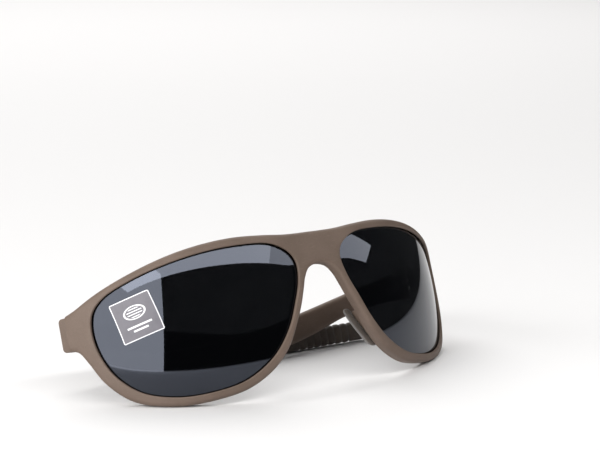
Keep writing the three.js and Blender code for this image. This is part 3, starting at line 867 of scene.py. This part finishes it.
def arm_turn(distance):
    """How far the arm's outer face has turned inwards at a distance from the hinge."""
    bend = (math.pi / 2 - split_turn) * np.minimum(distance / ARM_BEND_LENGTH, 1)
    straight = ARM_LENGTH - ARM_BEND_LENGTH
    return bend + ARM_TIP_TURN * np.maximum(distance - ARM_BEND_LENGTH, 0) / straight


def arm_plan(distance, steps=60):
    """The outer face's place in plan, in the hinge frame."""
    step = distance / steps
    turns = arm_turn((np.arange(steps) + 0.5) * step)
    return np.array([-GAP / 2 - np.sum(np.cos(turns)) * step,
                     FRONT_THICKNESS + SEAT - np.sum(np.sin(turns)) * step])


def rounded_box(half_width, half_height, radius, arc_steps=6, long_steps=8):
    """Counter-clockwise outline of a box with round corners: (across, up)."""
    arcs = []
    for quarter, signs in enumerate(((1, 1), (-1, 1), (-1, -1), (1, -1))):
        angle = quarter * math.pi / 2 + np.linspace(0, math.pi / 2, arc_steps + 1)
        centre = np.multiply(signs, (half_width - radius, half_height - radius))
        arcs.append(centre + radius * on_circle(angle))
    outline = []
    for quarter, arc in enumerate(arcs):
        steps = long_steps if quarter in (1, 3) else 2
        outline += [arc, np.linspace(arc[-1], arcs[(quarter + 1) % 4][0], steps + 1)[1:-1]]
    return np.vstack(outline)


def arm_ring(distance, scale=1.0, grow=0.0, sink=0.0):
    """One ring of the arm's section at a distance from the hinge, in the design frame."""
    turn = arm_turn(distance)
    top, bottom = edge_height(ARM_TOP, distance), edge_height(ARM_BOTTOM, distance)
    t = min(distance / ARM_TAPER_LENGTH, 1)
    thickness = ARM_ROOT_THICKNESS + (ARM_REAR_THICKNESS - ARM_ROOT_THICKNESS) * t * t * (3 - 2 * t)
    past = max(distance - ARM_LENGTH + TIP_ROUND, 0) / TIP_ROUND
    shrink = math.sqrt(max(1 - past ** 2, 0.0))
    half_height = (top - bottom) / 2 * scale + grow
    half_height -= min(TIP_ROUND, 0.85 * half_height) * (1 - shrink) + sink
    half_width = (thickness / 2 * scale + grow) * max(shrink, 0.02) - sink
    radius = min(ARM_ROUND, 0.96 * half_width, 0.96 * half_height)
    section = rounded_box(half_width, half_height, radius)
    out = section[:, 0] - thickness / 2
    place = arm_plan(distance)
    return from_hinge(np.stack([place[0] - math.sin(turn) * out, place[1] + math.cos(turn) * out,
                                (top + bottom) / 2 + section[:, 1] - hinge_height], axis=1))


def edge_rings(start, end, count):
    """Distances along the arm from a softly rounded end on, and how far each ring is drawn in."""
    angles = np.linspace(0, math.pi / 2, 4)
    rounded = [(start + ARM_EDGE * (1 - math.cos(a)), ARM_EDGE * (1 - math.sin(a))) for a in angles]
    return rounded + [(d, 0.0) for d in np.linspace(start + ARM_EDGE, end, count)[1:]]


def temple_arm(side, fold):
    """The arm with the core that the grip covers, and the pocket for its hinge leaf."""
    rings = [arm_ring(d, sink=s) for d, s in edge_rings(0.0, GRIP_START - ARM_EDGE, 110)]
    rings += [arm_ring(GRIP_START - ARM_EDGE * (1 - math.sin(a)), sink=ARM_EDGE * (1 - math.cos(a)))
              for a in np.linspace(0, math.pi / 2, 4)[1:]]
    rings += [arm_ring(d, TANG_SCALE) for d in np.linspace(GRIP_START, TANG_END, 8)]
    arm = ring_piece("temple_arm_moulding", rings, side, fold, sharp_angle=50)
    return combined(arm, leaf_pocket(-1, hinge_place(side, fold)), "DIFFERENCE")


def rib_sink(distance):
    """Depth of the grip's moulded ribs at a distance from the hinge."""
    if not RIB_START < distance < RIB_END:
        return 0.0
    phase = (distance - RIB_START) / RIB_PITCH * 2 * math.pi
    return RIB_DEPTH * (0.5 - 0.5 * math.cos(phase)) ** 2


def temple_grip(side, fold):
    """The rubber sleeve: its hollow from the inner end forwards, then its ribbed outside to the tip."""
    start = GRIP_START + GRIP_SLIT
    rings = [arm_ring(d, TANG_SCALE, GAP) for d in np.linspace(TANG_END + GAP, start, 6)]
    rings += [arm_ring(d, sink=s + rib_sink(d)) for d, s in edge_rings(start, ARM_LENGTH - TIP_ROUND, 170)]
    tip_angles = np.linspace(0, math.pi / 2, 12)[1:]
    rings += [arm_ring(ARM_LENGTH - TIP_ROUND + TIP_ROUND * math.sin(a)) for a in tip_angles]
    return ring_piece("temple_grip_sleeve", rings, side, fold, sharp_angle=60)


# ---- the hinge, in its own frame: forwards along the endpiece, outwards, up ----

def hinge_solid(outline, low, high, axis):
    """A prism over an outline, along the hinge frame's axis 1 (outwards) or 2 (up)."""
    rings = [np.insert(outline, axis, level, axis=1) for level in (low, high)]
    size = len(outline)
    faces = [tuple(range(size)), tuple(range(size, 2 * size))]
    faces += [(i, (i + 1) % size, size + (i + 1) % size, size + i) for i in range(size)]
    return new_piece("hinge_solid", np.vstack(rings), faces, HINGE_SHARP_ANGLE)


def rectangle(low, high, corner=0.0):
    (x0, y0), (x1, y1) = low, high
    if corner:
        box = rounded_box((x1 - x0) / 2, (y1 - y0) / 2, corner, 5, 1)
        return box + ((x0 + x1) / 2, (y0 + y1) / 2)
    return np.array([(x0, y0), (x1, y0), (x1, y1), (x0, y1)], float)


def circle(radius, centre=(0, 0), count=48):
    return radius * on_circle(np.linspace(0, 2 * math.pi, count, endpoint=False)) + centre


def hinge_leaf(way, knuckle_cuts, place):
    """A plate that runs into a barrel round the pin, cut into knuckles and drilled for the screws."""
    face = SEAT - GAP
    back = face - LEAF_THICKNESS
    angles = np.linspace(math.pi / 2, 2 * math.pi + math.asin(back / BARREL_RADIUS), 44)
    barrel = BARREL_RADIUS * on_circle(angles)
    profile = np.vstack([barrel, [(LEAF_LENGTH, back), (LEAF_LENGTH, face)]]) * (way, 1)
    leaf = hinge_solid(profile, -2 * LEAF_HALF_HEIGHT, 2 * LEAF_HALF_HEIGHT, 2)
    low, high = sorted((-SHEET_REACH * way, LEAF_LENGTH * way))
    sheet = rectangle((low, -LEAF_HALF_HEIGHT), (high, LEAF_HALF_HEIGHT), LEAF_CORNER)
    combined(leaf, hinge_solid(sheet, -SHEET_REACH, SHEET_REACH, 1), "INTERSECT")
    low, high = sorted((-KNUCKLE_REACH * way, (BARREL_RADIUS + GAP) * way))
    cut = rectangle((low, -KNUCKLE_REACH), (high, KNUCKLE_REACH))
    for bottom, top in knuckle_cuts:
        combined(leaf, hinge_solid(cut, bottom, top, 2), "DIFFERENCE")
    combined(leaf, hinge_solid(circle(PIN_RADIUS + GAP, count=32), -CLEAR, CLEAR, 2), "DIFFERENCE")
    for along, height in FIXING_PLACES:
        hole = circle(FIXING_RADIUS + GAP, (way * along, height), 24)
        combined(leaf, hinge_solid(hole, -HOLE_REACH, SEAT + HOLE_REACH, 1), "DIFFERENCE")
    return settled(softened(leaf, LEAF_EDGE), place)


def front_leaf(place):
    """The leaf with two knuckles, fixed to the endpiece."""
    return hinge_leaf(1, [(-KNUCKLE_HALF - GAP, KNUCKLE_HALF + GAP)], place)


def temple_leaf(place):
    """The leaf with one middle knuckle, fixed to the arm."""
    return hinge_leaf(-1, [(KNUCKLE_HALF, CLEAR), (-CLEAR, -KNUCKLE_HALF)], place)


def turned(profile, count):
    """A body turned about the up axis from (radius, level) points."""
    rings = [np.insert(circle(radius, count=count), 2, level, axis=1) for radius, level in profile]
    return new_piece("turned", *closed_rings(rings), HINGE_SHARP_ANGLE)


def hinge_screw(place):
    """The pin screw: chamfered shank end, domed head with one slot."""
    base = LEAF_HALF_HEIGHT + GAP
    top = base + HEAD_HEIGHT
    end = -LEAF_HALF_HEIGHT - PIN_END
    screw = turned([(PIN_RADIUS - PIN_CHAMFER, end), (PIN_RADIUS, end + PIN_CHAMFER), (PIN_RADIUS, base),
                    (HEAD_RADIUS - 0.1, base), (HEAD_RADIUS, base + 0.1), (HEAD_RADIUS, top - 0.35),
                    (HEAD_RADIUS - 0.12, top - 0.14), (HEAD_RADIUS - 0.4, top - 0.04),
                    (HEAD_RADIUS * 0.4, top)], 40)
    slot = rectangle((-CLEAR, -SLOT_HALF), (CLEAR, SLOT_HALF))
    combined(screw, hinge_solid(slot, top - SLOT_DEPTH, top + CLEAR, 2), "DIFFERENCE")
    return settled(screw, place)


def fixing_screw(way, along, height, place):
    """A small pan-head screw with a cross recess, along the outward axis."""
    top = SEAT - GAP - LEAF_THICKNESS - GAP
    rim = FIXING_HEAD_RADIUS
    tip = top - SEAT - FIXING_REACH
    screw = turned([(0.15, tip), (FIXING_RADIUS, tip + 0.5), (FIXING_RADIUS, 0.0), (rim - 0.06, 0.0),
                    (rim, 0.06), (rim, 0.2), (rim - 0.1, 0.36), (rim - 0.4, 0.47),
                    (rim * 0.3, FIXING_HEAD_HEIGHT)], 28)
    floor = FIXING_HEAD_HEIGHT - RECESS_DEPTH
    for half_a, half_b in ((RECESS_LENGTH, RECESS_WIDTH), (RECESS_WIDTH, RECESS_LENGTH)):
        stroke = rectangle((-half_a, -half_b), (half_a, half_b))
        combined(screw, hinge_solid(stroke, floor, CLEAR, 2), "DIFFERENCE")

    def here(points):
        """Turns the screw's own axis (up to its head) onto the inward axis, at its hole."""
        x, y, z = points.T
        return place(np.column_stack([x + way * along, top - z, y + height]))

    return settled(screw, here)


# ---- putting the pieces in place ----

def stands_for(piece, name, node, finish):
    """Names a piece, gives it its finish's material and puts it on its CAD node's body; the slot name in the
    finish is not used.
    """
    material, slot = finish
    piece.name = name
    piece.data.materials.append(material)
    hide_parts(node)
    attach(piece, frame["nodes"][node]["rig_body"])


def build_side(word, side, nylon, grey, steel, grip_rubber, pad_rubber):
    """The pieces that each side of the glasses has."""
    fold = math.radians(joint_of[word]["range_deg"][1])
    fixed = hinge_place(side)
    swung = hinge_place(side, fold)

    def put(piece, name, node, finish, number=""):
        stands_for(piece, f"{name}_{word}{number}", f"{node}_{word}{number}", finish)

    put(lens(side), "lens_blank", "lens", grey)
    put(nose_pad(side), "nose_cushion", "nose_pad", pad_rubber)
    put(temple_arm(side, fold), "arm_moulding", "temple_arm", nylon)
    put(temple_grip(side, fold), "grip_sleeve", "temple_grip", grip_rubber)
    put(front_leaf(fixed), "leaf_front", "front_hinge_leaf", steel)
    put(temple_leaf(swung), "leaf_temple", "temple_hinge_leaf", steel)
    put(hinge_screw(fixed), "pin_screw", "hinge_screw", steel)
    for count, (along, height) in enumerate(FIXING_PLACES, 1):
        number = f"_{count}"
        put(fixing_screw(1, along, height, fixed), "screw_front", "front_leaf_screw", steel, number)
        put(fixing_screw(-1, along, height, swung), "screw_temple", "temple_leaf_screw", steel, number)


def build_glasses():
    nylon = nylon_material(), "frame_nylon"
    grey = lens_material(), "lens"
    steel = steel_material(), "hinge_steel"
    grip_rubber = rubber_material("grip_rubber", linear(66, 58, 52), linear(80, 71, 63)), "soft_rubber"
    pad_rubber = rubber_material("pad_rubber", linear(60, 52, 46), linear(74, 65, 58)), "soft_rubber"
    stands_for(front_frame(), "front_moulding", "front_frame", nylon)
    stands_for(lens_label(), "lens_film_right", "lens_label_right", (label_material(), "label_film"))
    for word, side in (("left", 1), ("right", -1)):
        build_side(word, side, nylon, grey, steel, grip_rubber, pad_rubber)


# ---- the stage ----

def add_floor():
    mesh = bpy.data.meshes.new("floor")
    corners = FLOOR_HALF * rectangle((-1, -1), (1, 1))
    mesh.from_pydata([(x, y, 0) for x, y in corners], [], [(0, 1, 2, 3)])
    mesh.materials.append(floor_material())
    in_scene("floor", mesh)


def heading(azimuth):
    """Level direction from the glasses: straight in front at 0, turning towards their left side."""
    return Vector((math.sin(azimuth), -math.cos(azimuth), 0))


def add_softbox(name, centre, facing, size, radiance, colour, turn=0):
    """A rectangular light of an even radiance, out of the camera's sight but mirrored by the lenses."""
    data = bpy.data.lights.new(name, "AREA")
    data.shape = "RECTANGLE"
    data.size, data.size_y = size
    data.energy = radiance * math.pi * size[0] * size[1]
    data.color = colour
    light = in_scene(name, data)
    light.location = centre
    light.rotation_mode = "QUATERNION"
    light.rotation_quaternion = Quaternion((0, 0, 1), turn) @ Vector(facing).to_track_quat("-Z", "Y")
    light.visible_camera = False


def add_studio():
    """A dim room, a wide ceiling softbox, a long one overhead in front, a tall one at the picture's left."""
    world = bpy.data.worlds.new("room")
    bpy.context.scene.world = world
    world.use_nodes = True
    world.node_tree.nodes["Background"].inputs["Color"].default_value = (*ROOM_COLOUR, 1)
    add_softbox("ceiling_softbox", CEILING_PLACE, (0, 0, -1), CEILING_SIZE, CEILING_RADIANCE, CEILING_COLOUR)
    depth = STRIP_HEIGHT * (STRIP_NEAR - STRIP_FAR)
    forward, rightward = heading(STRIP_AZIMUTH), heading(STRIP_AZIMUTH + math.pi / 2)
    for left, right, radiance in STRIP_PARTS:
        centre = forward * (STRIP_NEAR + STRIP_FAR) / 2 + rightward * (left + right) / 2 + Vector((0, 0, 1))
        size = (STRIP_HEIGHT * (right - left), depth)
        add_softbox("overhead_softbox", centre * STRIP_HEIGHT, (0, 0, -1), size, radiance, LAMP_COLOUR,
                    STRIP_AZIMUTH)
    azimuth = (SIDE_AZIMUTHS[0] + SIDE_AZIMUTHS[1]) / 2
    half_width = SIDE_DISTANCE * math.tan((SIDE_AZIMUTHS[0] - SIDE_AZIMUTHS[1]) / 2)
    way = heading(azimuth)
    add_softbox("side_softbox", way * SIDE_DISTANCE + Vector((0, 0, SIDE_HEIGHT / 2)), -way,
                (2 * half_width, SIDE_HEIGHT), SIDE_RADIANCE, LAMP_COLOUR)


def add_camera():
    rise = Vector((0, 0, math.sin(CAMERA_ELEVATION)))
    back = heading(CAMERA_AZIMUTH) * math.cos(CAMERA_ELEVATION) + rise
    right = heading(CAMERA_AZIMUTH + math.pi / 2)
    up = back.cross(right)
    data = bpy.data.cameras.new("camera")
    data.lens = CAMERA_LENS
    data.sensor_width = SENSOR_WIDTH
    camera = in_scene("camera", data)
    place = back * CAMERA_BACK + right * CAMERA_ASIDE + up * CAMERA_RAISE
    camera.location = (Vector(stand_offset) + place) * MILLIMETRE
    camera.rotation_mode = "QUATERNION"
    camera.rotation_quaternion = (-back).to_track_quat("-Z", "Y")
    data.clip_start = NEAREST_SEEN
    bpy.context.scene.camera = camera


build_glasses()
add_floor()
add_studio()
add_camera()
bpy.context.scene.view_settings.view_transform = "Standard"
